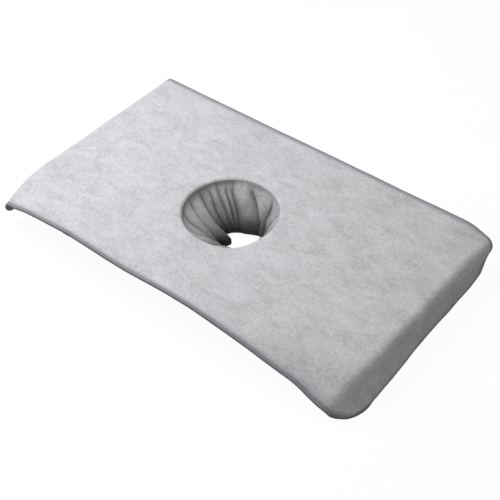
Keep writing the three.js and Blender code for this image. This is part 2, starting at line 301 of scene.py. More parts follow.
white = (1, 1, 1)
plushLook = {
    "colour": (0.60, 0.602, 0.62),
    "patch": 0.24,      # how much darker the laid-over pile is
    "streakTurn": 0.35,
    "sheen": 0.25,
}
pile = {
    # noises: scale, detail, roughness and distortion
    "patches": (21, 5, 0.65, 0.8),
    "strokes": (85, 4, 0.65, 1.2),
    "crossed": (120, 3, 0.6, 0.8),
    "clumps": (330, 3, 0.75),
    "nap": (1100, 2, 0.6),
    # what the first of each pair takes of their mix
    "strokesInLying": 0.55,
    "patchesInTone": 0.42,
    "toneOverClumps": 0.66,
}


def paintedCreaseShade(s, look):
    # painted shade: the pile's colour darkens in the creases and down towards the foot, where shade falls
    # inside the face hole
    parts = s.node("ShaderNodeSeparateXYZ")
    s.link(s.node("ShaderNodeAttribute", attribute_name="hollow").outputs["Vector"], parts.inputs["Vector"])
    # foot is the painted shade down the sleeve, crease the painted shade in its creases
    foot = s.ramp(parts.outputs["X"], white, (0.0, 1), (0.3, 0.9), (0.6, 0.56),
                  (0.82, look["foot"] * 1.6), (1.0, look["foot"]))
    crease = s.ramp(parts.outputs["Y"], white, (0.0, 1), (0.35, 0.85), (1.0, look["crease"]))
    return s.mixColour(1.0, foot, crease)


def plushPile(name, look, attribute):
    # short pile: large soft patches where it lies over, strokes and clumps of fibres, a fine nap
    s = Shader(name)
    at = s.place(attribute)
    patches = s.noise(s.place(attribute, (1, 1.7, 1), look["streakTurn"]), *pile["patches"])
    strokes = s.noise(s.place(attribute, (1, 3.0, 1), look["streakTurn"]), *pile["strokes"])
    crossed = s.noise(s.place(attribute, (2.4, 1, 1), -0.5), *pile["crossed"])
    clumps = s.noise(at, *pile["clumps"])
    nap = s.noise(at, *pile["nap"])
    lying = s.blend(strokes, crossed, pile["strokesInLying"])
    mixed = s.blend(patches, lying, pile["patchesInTone"])
    mixed = s.blend(mixed, clumps, pile["toneOverClumps"])
    colour = s.ramp(mixed, look["colour"], (0.425, 1 - look["patch"]), (0.475, 0.94),
                    (0.525, 1.03), (0.575, 1 + look["patch"] * 0.7))
    colour = s.mixColour(0.7, colour, s.ramp(nap, white, (0.3, 0.86), (0.7, 1)))
    # the sleeve's pile takes painted shade in its creases and down towards its foot
    if look.get("hollow"):
        colour = s.mixColour(1.0, colour, paintedCreaseShade(s, look["hollow"]))
    normal = s.bump(lying, 0.5, 0.0022)
    normal = s.bump(clumps, 0.5, 0.0009, normal)
    normal = s.bump(nap, 0.5, 0.0005, normal)
    return s.finishWith(colour, normal, Roughness=0.95, Specular_IOR_Level=0.2,
                        Sheen_Weight=look["sheen"], Sheen_Roughness=0.6)


# the tape's colour, and the level of the painted shade at its folded outer edge
bindingLook = {"colour": (0.295, 0.30, 0.32), "paintedEdgeShade": 0.45, "rib": 0.0011}


def ribbedTape(name, look):
    # a knitted binding tape: ribs across it, with painted shade towards its folded outer edge and in the
    # stitch groove, and a painted highlight on the ridge next to the pile
    s = Shader(name)
    at = s.place("flat")
    ribs = s.wave(at, 0.5 / look["rib"], "X", 0.4)
    loops = s.noise(at, 1400, 2)
    parts = s.node("ShaderNodeSeparateXYZ")
    s.link(at, parts.inputs["Vector"])
    # the second flat coordinate is the distance in from the outer edge; along it the ramp paints shade at
    # the outer edge and in the stitch groove, and a highlight on the ridge by the pile
    edge = s.ramp(s.math("MULTIPLY", parts.outputs["Y"], 100.0),
                  look["colour"], (0.0, look["paintedEdgeShade"]), (0.14, 0.62), (0.24, 1), (0.42, 1), (0.5, 0.6),
                  (0.6, 1.55), (0.9, 1.75))
    colour = s.mixColour(0.6, edge, s.ramp(ribs, white, (0.2, 0.82), (0.8, 1)))
    normal = s.bump(ribs, 0.5, 0.0003)
    normal = s.bump(loops, 0.3, 0.0002, normal)
    return s.finishWith(colour, normal, Roughness=0.85, Specular_IOR_Level=0.25, Sheen_Weight=0.15)


def threadCord(name, colour):
    s = Shader(name)
    twist = s.noise(s.place(), 2600, 2)
    tone = s.ramp(twist, colour, (0.35, 0.72), (0.65, 1.1))
    return s.finishWith(tone, s.bump(twist, 0.4, 0.0001), Roughness=0.6, Sheen_Weight=0.1)


def wovenCloth(name, colour, thread, contrast=0.12, twill=0.0):
    # plain or twill weave: two sets of threads crossing, with slubs and soft stains of tone
    s = Shader(name)
    at = s.place(None, (1, 1, 1), twill)
    across, along, up = (s.wave(at, 0.5 / thread, axis, 0.25) for axis in "XYZ")
    weave = s.math("ADD", s.math("MULTIPLY", across, along), s.math("MULTIPLY", up, 0.35))
    slub = s.noise(s.place(None, (1, 5, 1)), 220, 3)
    cloud = s.noise(at, 22, 3)
    tone = s.blend(slub, cloud, 0.5)
    base = s.ramp(tone, colour, (0.35, 1 - contrast), (0.65, 1 + contrast * 0.5))
    mixed = s.mixColour(0.7, base, s.ramp(weave, white, (0.1, 0.78), (0.7, 1)))
    normal = s.bump(weave, 0.55, thread * 0.35)
    normal = s.bump(slub, 0.25, 0.0003, normal)
    return s.finishWith(mixed, normal, Roughness=0.9, Specular_IOR_Level=0.25, Sheen_Weight=0.1)


def openFoam(name, colour, cell):
    # cells with lighter walls, yellowed in places
    s = Shader(name)
    at = s.place()
    cells = s.node("ShaderNodeTexVoronoi", feature="DISTANCE_TO_EDGE")
    cells.inputs["Scale"].default_value = 1 / cell
    s.link(at, cells.inputs["Vector"])
    walls = cells.outputs["Distance"]
    tone = s.ramp(walls, colour, (0.0, 1.05), (0.25, 0.72))
    yellowed = s.mixColour(s.noise(at, 14, 3), tone, shade(colour, 0.85), "MIX")
    return s.finishWith(yellowed, s.bump(walls, 0.8, cell * 0.4), Roughness=0.95)


def brushedMetal(name, colour, roughness):
    s = Shader(name)
    # fine scratches run along one way, and wear varies the tone and the shine
    grain = s.noise(s.place(None, (1, 0.05, 1)), 5200, 3)
    wear = s.noise(s.place(), 420, 4)
    tone = s.ramp(wear, colour, (0.3, 0.82), (0.7, 1))
    s.link(s.math("MULTIPLY_ADD", wear, 0.2, roughness), s.surface.inputs["Roughness"])
    return s.finishWith(tone, s.bump(grain, 0.15, 0.00005), Metallic=1.0)


def nylon(name, colour):
    s = Shader(name)
    speck = s.noise(s.place(), 1800, 3)
    tone = s.ramp(speck, colour, (0.3, 0.8), (0.7, 1.15))
    return s.finishWith(tone, s.bump(speck, 0.1, 0.00005), Roughness=0.42)


# the sleeve's colour is set darker than the cover's plush, partly as painted shade inside the face hole;
# hollow gives the darkest levels of painted shade at the foot and in the creases
sleeveLook = {"colour": (0.44, 0.442, 0.454), "patch": 0.30, "streakTurn": 0.0, "sheen": 0.1,
              "hollow": {"foot": 0.16, "crease": 0.30}}
plush = plushPile("plushPile", plushLook, "flat")
sleeveKnit = plushPile("sleevePile", sleeveLook, None)
bindingTape = ribbedTape("bindingTape", bindingLook)
seamTapeCloth = wovenCloth("seamTapeCloth", (0.26, 0.265, 0.28), 0.0007)
bindingThread = threadCord("bindingThread", (0.42, 0.425, 0.44))
caseCotton = wovenCloth("caseCotton", (0.70, 0.675, 0.62), 0.0009)
baseCanvas = wovenCloth("baseCanvas", (0.075, 0.08, 0.085), 0.0012, 0.2, 0.6)
pipingCloth = wovenCloth("pipingCloth", (0.27, 0.275, 0.29), 0.0006, 0.1, 0.78)
softFoamLook = openFoam("softFoam", (0.82, 0.74, 0.48), 0.0021)
firmFoamLook = openFoam("firmFoam", (0.66, 0.72, 0.80), 0.0014)
elasticWeb = wovenCloth("elasticWeb", (0.86, 0.86, 0.84), 0.0008)
zipTapeCloth = wovenCloth("zipTapeCloth", (0.25, 0.26, 0.275), 0.0006)
caseThread = threadCord("caseThread", (0.55, 0.53, 0.49))
zipNylon = nylon("zipNylon", (0.14, 0.145, 0.155))
zipMetal = brushedMetal("zipMetal", (0.50, 0.51, 0.53), 0.28)
print("materials made")


drape = {
    "foldRadius": 0.015,      # outside the cloth, where it turns down over each short end
    "endGap": 0.0068,         # from the pad's end out to the cover's face
    "edgeDip": 0.0011,        # the binding nips the pile in by this much
    "cloth": 0.0045,
    "rollRadius": 0.005,      # of the rolled rim at the face hole
    "rimLean": 0.0026,        # the rolled rim leans in over the hole by this much
    "rimDip": (0.0055, math.radians(311), 0.040),  # the rim sinks: how far, where and how widely
    "wave": 0.0007,           # soft unevenness of the top
    "waveLength": 0.11,
    "waveStart": 0.05,        # it has its full height this far from the face hole
    "hollow": 0.0030,         # the right drop draws in under its fold
    "cornerFrom": -0.100,     # from here to the front edge the right fold starts further in
    "cornerInset": 0.020,
    "cornerLean": 0.42,       # and hangs this far from upright
    "fallFrom": 0.095,        # the front falls away from here outwards
    "fallPower": 2.0,
    "backFall": (0.0079, 0.300, 0.345, 0.120, 1.6),  # the back right corner's: depth, along, across
    "hemHeight": 0.036,       # below the fold, where the cloth has reached its full flare
    "standAlong": (0.24, 0.34),  # between these, the right end takes up its hem's line
    "standPower": 1.8,
    "standFall": 0.08,        # a fall this deep counts as the whole flare
    "standMost": 1.2,
    "rest": 0.0032,           # the hem comes to rest this far above the binding's foot
    "floorGive": 0.004,       # how gradually it does
    "frontRight": (0.0957, 0.0748, 1.873),  # corner of the cut: along, across and squareness
    "backRight": (0.104, 0.082, 2.03),
    "backLeft": (0.026, 0.026, 2.0),
    "frontLeft": (0.026, 0.026, 2.0),
}
# along the front edge: place along it, how far it wanders in, and how far it falls
frontLine = [
    (-0.340, 0.0058, 0.0285), (-0.300, 0.0023, 0.0215), (-0.260, 0.0009, 0.0096), (-0.220, 0.0, 0.0052),
    (-0.170, 0.0, 0.0015), (-0.120, 0.0, 0.0031), (-0.080, 0.0, 0.0055), (-0.040, 0.0, 0.0066),
    (0.000, 0.0, 0.0034), (0.040, 0.0, 0.0005), (0.080, 0.0, 0.0008), (0.120, 0.0, 0.0052),
    (0.160, 0.0, 0.0112), (0.190, 0.0006, 0.0171), (0.220, 0.0011, 0.0248), (0.250, 0.0020, 0.0315),
    (0.275, 0.0028, 0.0364), (0.300, 0.0008, 0.0472), (0.325, 0.0000, 0.0547), (0.350, 0.0018, 0.0547),
    (0.400, 0.0034, 0.0547),
]
# along the right hem: place across it, and how far it stands out
hemLine = [
    (-0.200, -0.0013), (-0.185, 0.0014), (-0.165, 0.0036), (-0.140, 0.0066), (-0.110, 0.0082),
    (-0.070, 0.0070), (-0.020, 0.0032), (0.030, 0.0010), (0.080, 0.0006), (0.120, -0.0006),
    (0.155, -0.0006), (0.185, 0.0030), (0.200, 0.0070),
]
foldRight = topHigh.x + drape["endGap"] - drape["foldRadius"] - holeX
foldLeft = topLow.x - drape["endGap"] + drape["foldRadius"] - holeX
frontEdge = bindingLow.y - holeY
backEdge = bindingHigh.y - holeY
rightDrop = coverTop - bindingLow.z
aboveZip = 0.006
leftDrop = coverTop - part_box("zip_slider")[1].z - aboveZip
quarter = drape["foldRadius"] * math.pi / 2
cutRight = foldRight + quarter + rightDrop - drape["foldRadius"]
cutLeft = foldLeft - quarter - (leftDrop - drape["foldRadius"])


def eased(x, table, column, reach=0.012):
    # the table's column at x, its corners rounded by averaging over a short reach
    known = np.array(table)
    steps = np.linspace(-reach, reach, 7)
    return sum(np.interp(x + step, known[:, 0], known[:, column]) for step in steps) / len(steps)


def rimSink(u, v):
    # how far the face hole's rim sinks, a smooth hollow round one place on it
    depth, angle, reach = drape["rimDip"]
    away = (u - holeRadius * math.cos(angle)) ** 2 + (v - holeRadius * math.sin(angle)) ** 2
    return depth * np.exp(-away / reach ** 2)


def drapeAt(u, v):
    # where a point of the flat cut lies, from the face hole's middle on the cover's top: flat on
    # the pad, an arc round each fold, then down, with the front falling by a power of the
    # distance across and the hem standing out as its table says. At the front right corner the
    # fold starts further in and hangs at a gentler slope, as the pad's corner is round.
    radius = drape["foldRadius"]
    right = u > 0
    corner = right * smoothStep(drape["cornerFrom"], frontEdge, v)
    over = np.where(right, u - foldRight + drape["cornerInset"] * corner, foldLeft - u)
    side = np.where(right, 1.0, -1.0)
    start = np.where(right, foldRight - drape["cornerInset"] * corner, foldLeft)
    steepest = math.pi / 2 - drape["cornerLean"] * corner
    turn = np.clip(over / radius, 0, steepest)
    hang = np.clip(over - radius * steepest, 0, None)
    hangShare = np.clip(hang / drape["hemHeight"], 0, 1)
    x = np.where(over > 0, start + side * (radius * np.sin(turn) + hang * np.cos(steepest)), u)
    z = np.where(over > 0, -radius * (1 - np.cos(turn)) - hang * np.sin(steepest), 0.0)
    front = np.clip((v + drape["fallFrom"]) / (frontEdge + drape["fallFrom"]), 0, None)
    fall = eased(u, frontLine, 2) * front ** drape["fallPower"]
    y = v + eased(u, frontLine, 1) * front ** 2
    depth, along0, along1, across0, power = drape["backFall"]
    back = np.clip((v - across0) / (backEdge - across0), 0, None)
    z = z - fall - depth * smoothStep(along0, along1, u) * back ** power * (1 - hangShare)
    stand = np.clip(hangShare ** drape["standPower"] + fall / drape["standFall"], 0, drape["standMost"])
    stand = stand * right * smoothStep(*drape["standAlong"], u)
    x = x + eased(v, hemLine, 1) * stand - right * drape["hollow"] * np.sin(math.pi * hangShare)
    # the hem comes to rest near the floor: a soft maximum of its height and the resting one
    lowest = drape["rest"] - rightDrop
    z = lowest + drape["floorGive"] * np.logaddexp(0, (z - lowest) / drape["floorGive"])
    fromHole = smoothStep(holeRadius, holeRadius + drape["waveStart"], np.hypot(u, v))
    z = z + drape["wave"] * softNoise(u, v, 0 * u, drape["waveLength"], 3) * fromHole * (1 - hangShare)
    return together(x, y, z - rimSink(u, v))


def drapeNormal(u, v):
    step = 0.0008
    alongU = drapeAt(u + step, v) - drapeAt(u - step, v)
    alongV = drapeAt(u, v + step) - drapeAt(u, v - step)
    return unit(np.cross(alongU, alongV))


def drapePlace(u, v, rise):
    # a point that stands rise above the cover's face, in the frame's own coordinates
    return drapeAt(u, v) + drapeNormal(u, v) * np.asarray(rise)[..., None] + [holeX, holeY, coverTop]


def cutOutline(count):
    # the cut's outer line and its inward direction, at even steps: straight sides joined by
    # quarter superellipses
    def corner(su, sv, key, backwards):
        a, b, power = drape[key]
        t = np.linspace(0, math.pi / 2, 160)
        x = (cutRight if su > 0 else cutLeft) - su * a + su * a * np.cos(t) ** (2 / power)
        y = (backEdge if sv > 0 else frontEdge) - sv * b + sv * b * np.sin(t) ** (2 / power)
        line = np.stack([x, y], 1)
        return line[::-1] if backwards else line
    line = np.concatenate([
        corner(1, -1, "frontRight", True), corner(1, 1, "backRight", False),
        corner(-1, 1, "backLeft", True), corner(-1, -1, "frontLeft", False),
    ])
    line = np.concatenate([line, line[:1]])
    length = np.concatenate([[0], np.cumsum(np.hypot(*np.diff(line, axis=0).T))])
    at = np.linspace(0, length[-1], count, endpoint=False)
    points = np.stack([np.interp(at, length, line[:, k]) for k in range(2)], 1)
    ahead = np.roll(points, -2, 0) - np.roll(points, 2, 0)
    inward = unit(np.stack([-ahead[:, 1], ahead[:, 0]], 1))
    return points, inward, at, length[-1]


coverMesh = {
    "sides": 460,
    "rows": 92,
    "crowd": 0.02,            # draws the rows towards both edges
    "nipStart": 0.013,        # from the edge, where the pile begins to dip under the binding
    "nip": [0.0115, 0.0100, 0.0090, 0.0078, 0.0060, 0.0042, 0.0030],
    "lip": [90, 72, 54, 36, 18],  # degrees still to turn, down the rolled rim
}


def makeCover():
    sides = coverMesh["sides"]
    edge, inward, _, _ = cutOutline(sides)
    angle = np.arctan2(edge[:, 1], edge[:, 0])
    circle = np.stack([np.cos(angle), np.sin(angle)], 1)
    roll = drape["rollRadius"]
    rim = circle * (holeRadius + roll - drape["rimLean"])
    inner = edge + inward * coverMesh["nipStart"]
    share = np.linspace(0, 1, coverMesh["rows"])[:, None, None]
    share = share + coverMesh["crowd"] * np.sin(share * 2 * math.pi)
    open_ = rim * (1 - share) + inner * share
    nipped = np.array(coverMesh["nip"])
    near = edge + inward * nipped[:, None, None]
    flat = np.concatenate([open_, near])
    dip = np.concatenate([np.zeros(len(open_)), drape["edgeDip"] * smoothStep(0.0115, 0.0075, nipped)])
    rise = np.broadcast_to(-dip[:, None], flat.shape[:2])
    top = drapePlace(flat[..., 0], flat[..., 1], rise)
    lower = flat[::-2]
    under = np.broadcast_to((dip - drape["cloth"])[::-2, None], lower.shape[:2])
    bottom = drapePlace(lower[..., 0], lower[..., 1], under)
    # the rolled rim: a quarter circle down into the hole, then back to the underside
    bend = np.radians(coverMesh["lip"])[:, None]
    out = holeRadius + roll * (1 - np.sin(bend)) - drape["rimLean"]
    down = coverTop - roll * (1 - np.cos(bend)) - rimSink(circle[:, 0] * out, circle[:, 1] * out)
    lip = together(holeX + circle[:, 0] * out, holeY + circle[:, 1] * out, down)
    middle = (top[-1:] + bottom[:1]) / 2
    middle[0, :, :2] += -inward * 0.0004
    grid = np.concatenate([lip, top, middle, bottom])
    cut = np.concatenate([np.broadcast_to(rim, (len(bend), sides, 2)), flat, flat[-1:], lower])
    cut3 = np.concatenate([cut, np.zeros((*cut.shape[:2], 1))], -1)
    cover = closedRing("plushCover", grid.transpose(1, 0, 2), cut3.transpose(1, 0, 2))
    return dress(cover, "cover", plush, "plush", "cover_panel")


bindingShape = {
    # section in millimetres: distance in from the outer edge, and height over the pile's face;
    # the tape is folded round the cloth's edge, with its stitch line pressed in
    "outside": [(9.0, -0.55), (8.8, -0.05), (8.2, 0.28), (7.2, 0.30), (6.2, 0.12), (5.5, -0.30),
                (5.0, -0.38), (4.5, -0.28), (3.6, 0.12), (2.4, 0.10), (1.2, -0.35), (0.35, -1.2),
                (0.0, -2.3), (0.35, -3.4), (1.2, -4.1), (2.4, -4.55), (4.0, -4.75), (6.5, -4.8),
                (8.4, -4.75), (8.9, -4.5)],
    "inside": [(8.8, -4.1), (6.5, -4.0), (3.5, -3.85), (1.6, -3.2), (1.1, -2.3), (1.6, -1.4),
               (3.5, -0.95), (5.0, -1.2), (7.0, -0.85), (8.6, -0.95)],
    "middle": -0.0023,        # the height of the cloth's middle
    "steps": 680,
    "wobble": 0.00018,
    "stitch": 0.0034,
    "stitchLength": 0.0024,
    "stitchRadius": 0.00028,
    "stitchLine": 0.0050,
    "joinRise": 0.0006,       # how much thicker the tape is where its ends overlap
    "joinSlant": 0.0016,
    "joinClear": 0.003,       # the stitches stop this far from the join
}


def bindingSection(rise=0.0):
    # in metres, its outside standing out by rise above and below
    line = np.array(bindingShape["outside"] + bindingShape["inside"]) / 1000
    count = len(bindingShape["outside"])
    line[:count, 1] += np.where(line[:count, 1] > bindingShape["middle"], rise, -rise)
    return line


def makeBinding():
    edge, inward, along, _ = cutOutline(bindingShape["steps"])
    section = bindingSection()
    flat = edge[:, None] + inward[:, None] * section[None, :, :1]
    rise = np.broadcast_to(section[:, 1], flat.shape[:2])
    wobble = bindingShape["wobble"] * softNoise(along[:, None], section[None, :, 0] * 3, 0, 0.03, 8)
    grid = drapePlace(flat[..., 0], flat[..., 1], rise + wobble)
    where = together(along[:, None], section[None, :, 0], 0.0)
    tape = closedRing("coverBinding", grid, where)
    return dress(tape, "cover", bindingTape, "binding", "edge_binding")


def joinSpan():
    # where the overlapped ends of the tape begin and end, along the front edge
    low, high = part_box("binding_join")
    return low.x - holeX, high.x - holeX


def makeBindingJoin():
    start, end = joinSpan()
    steps = 26
    section = bindingSection(bindingShape["joinRise"])
    u = np.linspace(start, end, steps)
    taper = np.sqrt(np.clip(1 - (np.linspace(-1, 1, steps)) ** 8, 0.0, 1))
    middle = section.mean(0)
    shape = middle + (section - middle)[None] * (0.93 + 0.07 * taper[:, None, None])
    flatU = u[:, None] + bindingShape["joinSlant"] * (shape[..., 0] / section[:, 0].max() - 0.5)
    flatV = frontEdge - 0.0002 + shape[..., 0]
    grid = drapePlace(flatU, flatV, shape[..., 1])
    points, faces = cappedBar(grid)
    where = together(flatU, shape[..., 0], 0.0).reshape(-1, 3)
    where = np.concatenate([where, where[:1], where[-1:]])
    piece = makeObject("bindingJoin", points, faces, {"flat": where})
    return dress(piece, "cover", bindingTape, "binding", "binding_join")


def stitchRow(name, places, ahead, up, length, radius):
    # short threads: each a six-sided bar bent down at both ends, laid along the row
    t = np.array([-0.5, -0.34, 0.0, 0.34, 0.5])
    size = np.array([0.55, 1.0, 1.0, 1.0, 0.55])
    height = -(2 * np.abs(t)) ** 3 * radius + radius * 0.35
    around = fullTurn(6)
    side = np.cross(up, ahead)
    ring = [
        (t[:, None] * length + 0 * around),
        radius * size[:, None] * np.cos(around),
        height[:, None] + radius * size[:, None] * np.sin(around),
    ]
    grids = (places[:, None, None] + ahead[:, None, None] * ring[0][None, ..., None]
             + side[:, None, None] * ring[1][None, ..., None] + up[:, None, None] * ring[2][None, ..., None])
    template = cappedBar(grids[0])[1]
    rows = grids.reshape(len(places), -1, 3)
    ends = np.stack([grids[:, 0].mean(1), grids[:, -1].mean(1)], 1)
    points = np.concatenate([rows, ends], 1)
    each = points.shape[1]
    faces = (template[None] + (np.arange(len(places)) * each)[:, None, None]).reshape(-1, 4)
    return makeObject(name, points.reshape(-1, 3), faces)


def makeBindingStitches():
    _, _, _, length = cutOutline(100)
    count = int(length / bindingShape["stitch"])
    edge, inward, _, _ = cutOutline(count)
    line = edge + inward * bindingShape["stitchLine"]
    rise = np.full(count, -0.00030)
    places = drapePlace(line[:, 0], line[:, 1], rise)
    ahead = unit(np.roll(places, -1, 0) - np.roll(places, 1, 0))
    up = drapeNormal(line[:, 0], line[:, 1])
    start, end = joinSpan()
    gap = bindingShape["joinClear"]
    clear = ~((line[:, 0] > start - gap) & (line[:, 0] < end + gap) & (line[:, 1] < 0))
    piece = stitchRow("bindingStitches", places[clear], ahead[clear], up[clear],
                      bindingShape["stitchLength"], bindingShape["stitchRadius"])
    return dress(piece, "cover", bindingThread, "binding")


cover = makeCover()
binding = makeBinding()
bindingJoin = makeBindingJoin()
bindingStitches = makeBindingStitches()
coverEdge = cutOutline(2000)[0]
coverArea = 0.5 * abs(np.sum(coverEdge[:, 0] * np.roll(coverEdge[:, 1], -1)
                             - coverEdge[:, 1] * np.roll(coverEdge[:, 0], -1)))
coverArea -= math.pi * holeRadius ** 2


hemLow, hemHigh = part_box("sleeve_hem")
sleeve = {
    "cloth": 0.0022,
    "wrinkle": 0.0011,
    "channel": 0.003,         # the hem's channel, through its thickness
    "top": 0.0026,            # its top edge under the cover's face
    "hemX": (hemLow.x + hemHigh.x) / 2 - holeX,
    "hemY": (hemLow.y + hemHigh.y) / 2 - holeY,
    "flatDepth": 0.074,       # of the cut, from the rim to the hem
    "sides": 480,
    "rows": 62,
    "archPower": 0.75,
    "rimSpan": (0.02, 0.30),  # the folds come up between these shares of the depth
    "hemSpan": (0.50, 1.0),   # and take their shape at the hem between these
    "startSpread": 0.16,      # the folds don't all start at the rim
    "startReach": 0.42,
    "wander": (0.055, 3, 5, 0.5),  # of the folds: how far, turns round, turn with depth, start
    # inner radius at each depth under the cover's face
    "depths": [0.0, 0.003, 0.006, 0.010, 0.018, 0.027, 0.036, 0.046, 0.056],
    "radii": [0.0766, 0.0764, 0.0758, 0.0744, 0.0690, 0.0610, 0.0520, 0.0440, 0.0385],
    "bulge": (0.0145, math.radians(118), 1.0),  # the back swells in at the hem: depth, place, width
    # creases: angle at the rim, angle at the hem, how far the fold after it stands in half way
    # down and at the hem, and which way its crest leans
    "folds": [
        (12, 6, 0.009, 0.002, 0.2), (40, 32, 0.007, 0.001, -0.2), (69, 58, 0.012, 0.001, 0.3),
        (105, 74, 0.019, 0.002, 0.25), (124, 138, 0.005, 0.001, 0.3), (134, 148, 0.010, 0.001, 0.3),
        (146, 159, 0.008, 0.001, -0.1), (158, 177, 0.007, 0.002, 0.3), (171.5, 195, 0.022, 0.022, -0.1),
        (189, 236, 0.013, 0.002, 0.2), (212, 252, 0.010, 0.001, 0.1), (238, 270, 0.012, 0.002, 0.2),
        (272, 289, 0.010, 0.001, -0.2), (303, 314, 0.010, 0.002, 0.1), (338, 338, 0.009, 0.001, 0.2),
    ],
}


def sleeveInner(turn, depth):
    # the sleeve's inner face. turn is the angle at the rim, and depth runs 0 at the top to 1 at
    # the hem. Between two creases the cloth arches inwards as a power of 4t(1 - t).
    folds = np.array(sleeve["folds"])
    rim = np.radians(folds[:, 0])
    hem = np.radians(folds[:, 1])
    halfway, atHem, lean = folds[:, 2:].T
    rimLoop = np.concatenate([rim, rim[:1] + 2 * math.pi])
    hemLoop = np.concatenate([hem, hem[:1] + 2 * math.pi])
    angle = (turn - rim[0]) % (2 * math.pi) + rim[0]
    panel = np.clip(np.searchsorted(rimLoop, angle, side="right") - 1, 0, len(rim) - 1)
    across = (angle - rimLoop[panel]) / (rimLoop[panel + 1] - rimLoop[panel])
    slid = hemLoop[panel] + across * (hemLoop[panel + 1] - hemLoop[panel])
    grow = smoothStep(0.0, 0.95, depth)
    early = smoothStep(*sleeve["rimSpan"], depth)
    toHem = smoothStep(*sleeve["hemSpan"], depth)
    leaned = np.clip(across + lean[panel] * across * (1 - across), 0, 1)
    arch = (4 * leaned * (1 - leaned)) ** sleeve["archPower"]
    stand = halfway[panel] * (1 - toHem) + atHem[panel] * toHem
    begins = sleeve["startSpread"] * (panel * 0.37 % 1)
    inwards = stand * arch * smoothStep(begins, begins + sleeve["startReach"], depth)
    where = angle + (slid - angle) * grow
    far, round_, down, start = sleeve["wander"]
    where = where + far * np.sin(round_ * angle + down * depth + start) * early * (1 - toHem)
    swell, place, width = sleeve["bulge"]
    inwards = inwards + swell * np.exp(-((where - place) / width) ** 2) * smoothStep(0.45, 1.0, depth)
    under = sleeve["top"] + (coverTop - hemHigh.z - sleeve["top"]) * depth
    wrinkle = softNoise(0.075 * np.cos(angle), 0.075 * np.sin(angle), 0.045 * depth, 0.021, 21)
    inwards = inwards + sleeve["wrinkle"] * wrinkle * early * (1 - toHem)
    radius = np.interp(under, sleeve["depths"], sleeve["radii"]) - inwards
    shift = smoothStep(0.08, 1.0, depth)
    x = sleeve["hemX"] * shift + radius * np.cos(where)
    y = sleeve["hemY"] * shift + radius * np.sin(where)
    z = coverTop - under - rimSink(x, y) * (1 - smoothStep(0.0, 0.6, depth))
    # how far into a crease each point lies, used for painted shade in the pile's colour
    crease = (1 - arch * (0.55 + 0.45 * smoothStep(0.004, 0.012, halfway[panel]))) ** 1.3 * early
    return np.stack([holeX + x, holeY + y, z], -1), where, crease


def outwards(where):
    return together(np.cos(where), np.sin(where), 0)


def makeSleeve():
    turns = fullTurn(sleeve["sides"])[:, None]
    depth = np.linspace(0, 1, sleeve["rows"])[None, :]
    inner, where, crease = sleeveInner(turns, depth)
    outer = inner + outwards(where) * sleeve["cloth"]
    edgeTop = (inner[:, :1] + outer[:, :1]) / 2 + [0, 0, 0.0005]
    edgeFoot = (inner[:, -1:] + outer[:, -1:]) / 2 - [0, 0, 0.0002]
    grid = np.concatenate([edgeTop, inner, edgeFoot, outer[:, ::-1]], 1)
    # depth and crease, kept as the attribute that paints shade into the sleeve's colour
    face = together(depth, crease, 0)
    hollow = np.concatenate([face[:, :1], face, face[:, -1:], face[:, ::-1]], 1)
    piece = closedRing("faceSleeve", grid, hollow, "hollow")
    return dress(piece, "cover", sleeveKnit, "sleeve_knit", "face_sleeve")


def hemRing(name, section, material, slot, node):
    # a ring that follows the sleeve's foot. Its section lists, round it, the share of the
    # channel's thickness outwards and the height.
    turns = fullTurn(sleeve["sides"])[:, None]
    foot, where, crease = sleeveInner(turns, np.ones((1, 1)))
    share, height = np.array(section).T
    grid = foot + outwards(where) * (share * sleeve["channel"])[None, :, None]
    grid[..., 2] = height
    # the hem takes the deepest painted shade, that of the foot, and the crease's
    face = together(1, crease, 0)
    hollow = np.broadcast_to(face, grid.shape)
    return dress(closedRing(name, grid, hollow, "hollow"), "cover", material, slot, node)


def makeSleeveHem():
    low, high = hemLow.z, hemHigh.z - 0.0004
    channel = [
        (0.0, high - 0.0006), (-0.08, (low + high) / 2), (0.0, low + 0.001), (0.3, low), (0.7, low),
        (1.0, low + 0.001), (1.08, (low + high) / 2), (1.0, high - 0.0006), (0.86, high),
        (0.80, high - 0.0006), (0.80, low + 0.002), (0.20, low + 0.002), (0.20, high - 0.0006), (0.14, high),
    ]
    return hemRing("sleeveHem", channel, sleeveKnit, "sleeve_knit", "sleeve_hem")


def makeElastic():
    low, high = heights("hem_elastic")
    band = [
        (0.36, high - 0.0002), (0.34, (low + high) / 2), (0.36, low + 0.0002), (0.5, low),
        (0.64, low + 0.0002), (0.66, (low + high) / 2), (0.64, high - 0.0002), (0.5, high),
    ]
    return hemRing("hemElastic", band, elasticWeb, "elastic_web", "hem_elastic")


ringShape = {"sides": 240, "soft": 0.06, "round": 0.0003, "ripple": 0.0001, "ripples": 60}


def plainRing(name, innerRadius, outerRadius, low, high, material, body, slot, node, sinks=0.0):
    # a band of cloth round the face hole's axis, with rounded edges and a slight bulge
    turns = fullTurn(ringShape["sides"])[:, None]
    edge = (high - low) * ringShape["soft"]
    z = np.array([low, low + edge, (low + high) / 2, high - edge, high])
    bulge = ringShape["round"] * np.array([0, 0, 1, 0, 0])
    drawn = ringShape["round"] * np.array([1, 0, 0, 0, 1])
    radius = np.concatenate([innerRadius - bulge + drawn, outerRadius + bulge - drawn])
    z = np.concatenate([z, z[::-1]])
    radius = radius + ringShape["ripple"] * np.sin(turns * ringShape["ripples"])
    x = radius * np.cos(turns)
    y = radius * np.sin(turns)
    grid = np.stack([holeX + x, holeY + y, z - sinks * rimSink(x, y)], -1)
    return dress(closedRing(name, grid), body, material, slot, node)


faceSleeve = makeSleeve()
sleeveHem = makeSleeveHem()
hemElastic = makeElastic()
rimTape = plainRing("rimSeamTape", holeRadius + 0.0003, (tapeHigh.x - tapeLow.x) / 2, tapeLow.z,
                    tapeHigh.z, seamTapeCloth, "cover", "binding", "rim_seam_tape", 1.0)
print("sleeve made")


